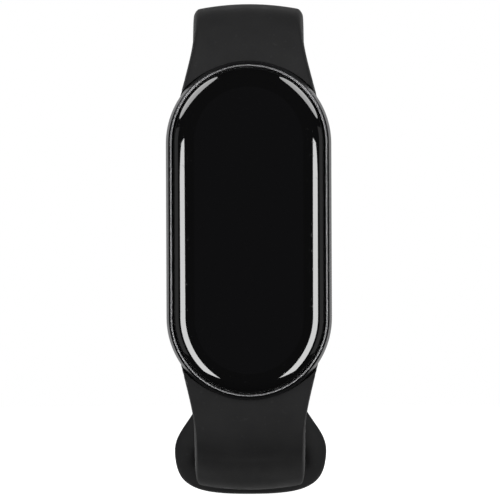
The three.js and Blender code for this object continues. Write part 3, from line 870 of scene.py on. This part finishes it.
def lower_band():
    """The half at six o'clock and its tail with the row of holes, as one piece."""
    tip = TAIL_TIP + TAIL_HALF_WIDTH * (1 - np.cos(np.linspace(0, QUARTER, 30)))
    straight = np.arange(TAIL_TIP + TAIL_HALF_WIDTH, LOOP_LENGTH, OUTLINE_PITCH)
    places = np.concatenate([tip[:-1], straight, [LOOP_LENGTH]])
    outline = anticlockwise(resample(symmetric_outline(lower_half_width, places), OUTLINE_PITCH))
    beyond = np.arange(LOOP_LENGTH + 1, LOOP_LENGTH + 20)
    oval = superellipse_points(HOLE_HALF_WIDTH, HOLE_HALF_LENGTH, 2, 44)
    centres = [STUD_PLACE + (i - HOLES_BELOW_STUD) * HOLE_PITCH for i in range(HOLE_COUNT)]
    section = {
        "side_edge": symmetric_outline(lower_half_width, np.concatenate([places, beyond])),
        "edge": LOWER_EDGE,
        "half_thick": lambda place: swell(LOOP_LENGTH - place),
        "layer": lower_layer,
        "ring": np.zeros_like,
    }
    holes = [anticlockwise(oval + (0, centre)) for centre in centres]
    roundings = (HOLE_ROUNDING, HOLE_ROUNDING)
    piece = strap_piece("lower_band", outline, holes, roundings, section, False)
    cut(piece, button_well(LOOP_LENGTH - BUTTON_PLACE))
    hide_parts("lower_strap", "strap_tail")
    return piece


# ---------------------------------------------------------------- capsule

def frame_hoop():
    """The metal hoop: a thin front lip, a leaning shoulder and a barrelled wall, open inside."""
    profile = fillet([
        (10.05, 0.98, 0.05), (10.23, 0.98, 0.06), (10.49, 1.36, 0.1), (10.83, WALL_DEPTH, 1.2),
        (OUTER, 3.4, 1), (OUTER, 5.2, 2.0), (10.65, 6.6, 1.2), (10.32, 7.42, 0.2),
        (9.2, 7.42, 0.1), (9.2, 2.5, 0.1), (10.05, 2.5, 0.1),
    ], closed=True)
    piece = pill("frame_hoop", profile, FRAME_METAL, closed=True)
    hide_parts("frame_ring")
    return piece


def cover_lens():
    """A crown that stays flat in the middle and rolls over steeply at its edge."""
    share = np.linspace(0, 1, 48)
    radii = GLASS_FLAT + (GLASS_RADIUS - GLASS_FLAT) * (1 - (1 - share) ** 2)
    drop = GLASS_DROP * (1 - (1 - ((radii - GLASS_FLAT) / (GLASS_RADIUS - GLASS_FLAT)) ** 3.2) ** 0.5)
    crown = [(0, 0), (GLASS_FLAT * 0.5, 0), *zip(radii.tolist(), drop.tolist())]
    profile = crown + [(GLASS_RADIUS, 1.6), (GLASS_RADIUS - 0.08, 1.68), (0, 1.68)]
    piece = pill("cover_lens", profile, GLASS)
    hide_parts("glass_cover")
    return piece


def opening_profile(radius, top):
    """A hole a little wider than what it holds, flared at its mouth."""
    wide = radius + OPENING_GAP
    return [(0, OPENING_FLOOR), (wide, OPENING_FLOOR), (wide, 10.1), (radius + 0.3, top), (0, top)]


def back_shell():
    """The satin back, with openings for the sensor window and the two charging pads."""
    profile = fillet([
        (0, 10.2), (7, 10.2, 8), (8.9, 9.8, 2.5), (10, 8.9, 1.2), (10.3, 7.72, 0.1), (10.05, 7.72, 0.05),
        (10.05, 8.3, 0.1), (8.9, 8.3), (8.9, 6.8), (8.3, 6.8), (8.3, 8.6), (7.5, 9.2), (0, 9.2),
    ])
    shell = pill("back_shell", profile, CASE)
    cut(shell, pill("opening", opening_profile(WINDOW_RADIUS, 10.45), CASE, None, WINDOW_STRAIGHT))
    for side in (-1, 1):
        cut(shell, lathe("opening", opening_profile(CONTACT_RADIUS, 10.4), CASE, None, contact_place(side)))
    weighted(shell)
    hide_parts("back_cover")
    return shell


def contact_place(side):
    return lambda x, depth, z: (side * CONTACT_X + x, FRONT_Y + depth, CONTACT_Z + z)


def sensor_lens():
    profile = fillet([(0, 11), (4.5, 11, 1.5), (5.3, 10.8, 0.5), (5.6, 10.4, 0.3), (5.6, 9.9), (0, 9.9)])
    piece = pill("sensor_lens", profile, SENSOR, straight=WINDOW_STRAIGHT)
    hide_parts("sensor_window")
    return piece


def contact_pads():
    profile = fillet([(0, 10.36), (0.45, 10.36, 0.3), (0.6, 10.4, 0.1), (1, 10.4, 0.12), (1, 8.5), (0, 8.5)])
    pads = []
    for side, node in ((-1, "charging_contact_left"), (1, "charging_contact_right")):
        piece = lathe(f"{node}_pad", profile, GOLD, "band", contact_place(side))
        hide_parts(node)
        pads.append(piece)
    return pads


def build_capsule():
    """The pieces of the capsule's front and of its back."""
    return [frame_hoop(), cover_lens()], [back_shell(), sensor_lens(), *contact_pads()]


# ---------------------------------------------------------------- stage

CAMERA_DISTANCE = 450.0
LENS = 246.9
CAMERA_RIGHT = 1.3
CAMERA_AIM = 0.13
CAMERA_Z = -2.56
CAMERA_ROLL = math.radians(0.22)
FACE_Y = -7.0
FLOOR_Z = in_mm("upper_strap")[0][2] - 0.05
FLOOR_HALF = 600
FLOOR_FADE = (90.0, 300.0)
ROOM_LIGHT = 0.3
BACKDROP_LIGHT = 1.0
BACKDROP_RISE = (0.55, 1.0)


def build_camera():
    data = bpy.data.cameras.new("camera")
    data.lens = LENS
    data.sensor_width = 36.0
    data.clip_start, data.clip_end = 0.01, 20
    camera = bpy.data.objects.new("camera", data)
    bpy.context.scene.collection.objects.link(camera)
    position = Vector((CAMERA_RIGHT, FACE_Y - CAMERA_DISTANCE, CAMERA_Z)) * MM
    aim = Vector((CAMERA_AIM, FACE_Y, CAMERA_Z)) * MM
    camera.location = position
    camera.rotation_mode = "QUATERNION"
    ahead = aim - position
    camera.rotation_quaternion = Quaternion(ahead, CAMERA_ROLL) @ ahead.to_track_quat("-Z", "Y")
    bpy.context.scene.camera = camera


def panel(name, angles, distance, size, radiance, diffuse=True, glossy=True, roll=0, shape="RECTANGLE"):
    """A soft light panel facing the capsule.

    Its angles are (azimuth, elevation) in degrees: azimuth 0 is in front of the display, and 90 on its right.
    Its size is (width, height), and its colour is a plain white of the given radiance.
    """
    azimuth, elevation = (math.radians(angle) for angle in angles)
    level = math.cos(elevation)
    away = Vector((math.sin(azimuth) * level, -math.cos(azimuth) * level, math.sin(elevation)))
    data = bpy.data.lights.new(name, "AREA")
    data.shape = shape
    data.size, data.size_y = size[0] * MM, size[1] * MM
    data.energy = radiance * math.pi * data.size * data.size_y
    lamp = bpy.data.objects.new(name, data)
    bpy.context.scene.collection.objects.link(lamp)
    lamp.location = Vector((0, FRONT_Y, 0)) * MM + away * distance * MM
    lamp.rotation_mode = "QUATERNION"
    lamp.rotation_quaternion = Quaternion(away, math.radians(roll)) @ (-away).to_track_quat("-Z", "Y")
    lamp.visible_camera = False
    lamp.visible_diffuse = diffuse
    lamp.visible_glossy = glossy
    return lamp


def floor_material():
    """A pale floor that fades into the backdrop away from the object."""
    n = Nodes("floor_pale")
    n.shade("Base Color", n.mix(n.noise(0.02, 3), (0.88, 0.88, 0.88), (0.91, 0.91, 0.91)))
    n.set(Roughness=0.8, Specular_IOR_Level=0.1, Emission_Color=(1, 1, 1, 1), Emission_Strength=1.0)
    x, y, _ = n.split()
    reach = n.math("SQRT", n.math("ADD", n.math("MULTIPLY", x, x), n.math("MULTIPLY", y, y)))
    near, far = (edge * MM for edge in FLOOR_FADE)
    n.shade("Alpha", n.remap(reach, near, far, 1, 0))
    return n.material


def light_only(lamps, name, pieces):
    """Keep lamps to some pieces, as flags would on a set."""
    collection = bpy.data.collections.new(name)
    for piece in pieces:
        collection.objects.link(piece)
    for lamp in lamps:
        lamp.light_linking.receiver_collection = collection


def build_world():
    """White to the camera, a bright backdrop to mirrored rays, and a dim room to diffuse ones."""
    world = bpy.data.worlds.new("studio")
    bpy.context.scene.world = world
    world.use_nodes = True
    nodes, links = world.node_tree.nodes, world.node_tree.links
    background = nodes["Background"]
    direction = nodes.new("ShaderNodeTexCoord")
    split = nodes.new("ShaderNodeSeparateXYZ")
    links.new(direction.outputs["Generated"], split.inputs[0])
    behind = nodes.new("ShaderNodeMapRange")
    for key, number in zip(("From Min", "From Max", "To Max"), (*BACKDROP_RISE, BACKDROP_LIGHT)):
        behind.inputs[key].default_value = number
    links.new(split.outputs["Y"], behind.inputs["Value"])
    light_path = nodes.new("ShaderNodeLightPath")

    def combine(operation, a, b):
        node = nodes.new("ShaderNodeMath")
        node.operation = operation
        links.new(a, node.inputs[0])
        if isinstance(b, float):
            node.inputs[1].default_value = b
        else:
            links.new(b, node.inputs[1])
        return node.outputs[0]

    mirrored = combine("MULTIPLY", light_path.outputs["Is Glossy Ray"], behind.outputs["Result"])
    ambient = combine("MULTIPLY", light_path.outputs["Is Diffuse Ray"], ROOM_LIGHT)
    seen = combine("MAXIMUM", mirrored, light_path.outputs["Is Camera Ray"])
    links.new(combine("MAXIMUM", seen, ambient), background.inputs["Color"])


def build_floor():
    x, y = FLOOR_HALF, FLOOR_HALF
    corners = [(-x, -y, FLOOR_Z), (x, -y, FLOOR_Z), (x, y, FLOOR_Z), (-x, y, FLOOR_Z)]
    floor = new_object("floor", corners, [(0, 1, 2, 3)], floor_material())
    floor.visible_diffuse = floor.visible_glossy = floor.visible_shadow = False


def pair(name, angles, *size_and_light, roll=0, **kind):
    """A panel on the right and its mirror image on the left."""
    azimuth, elevation = angles
    return [
        panel(f"{name}_{side}", (side * azimuth, elevation), *size_and_light, roll=-side * roll, **kind)
        for side in (-1, 1)
    ]


def build_lights(front, back):
    """Soft light for all. Panels that are mirrored light the capsule only, so that the strap stays matt."""
    pair("front_soft", (32, 10), 700, (420, 420), 3.85, glossy=False)
    pair("rear_soft", (152, 0), 700, (420, 420), 4.5, glossy=False)
    panel("overhead", (0, 70), 700, (500, 500), 0.2, glossy=False)
    mirrored = [
        *pair("stripe", (33.4, -17), 500, (165, 380), 15, diffuse=False, roll=10),
        *pair("corner", (76, 43), 600, (620, 470), 6.5, diffuse=False, shape="ELLIPSE"),
        *pair("flank", (75, -8), 600, (400, 500), 0.5, diffuse=False),
    ]
    light_only(mirrored, "capsule_pieces", front + back)
    rear = pair("rear_mirrored", (148, 4), 700, (260, 420), 4.0, diffuse=False)
    light_only(rear, "back_pieces", back)


# ---------------------------------------------------------------- assembly

bpy.context.scene.view_settings.view_transform = "Standard"
build_camera()
build_world()
build_floor()
dress_cad_nodes()
build_lights(*build_capsule())
upper_band()
lower = lower_band()
stud()
release_button("upper_button_cap", BUTTON_PLACE, "upper_button", "upper_release_button")
release_button("lower_button_cap", LOOP_LENGTH - BUTTON_PLACE, "lower_button", "lower_release_button")
hinge = Vector(wrap(0, LAYER, TAIL_HINGE))
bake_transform(lower)
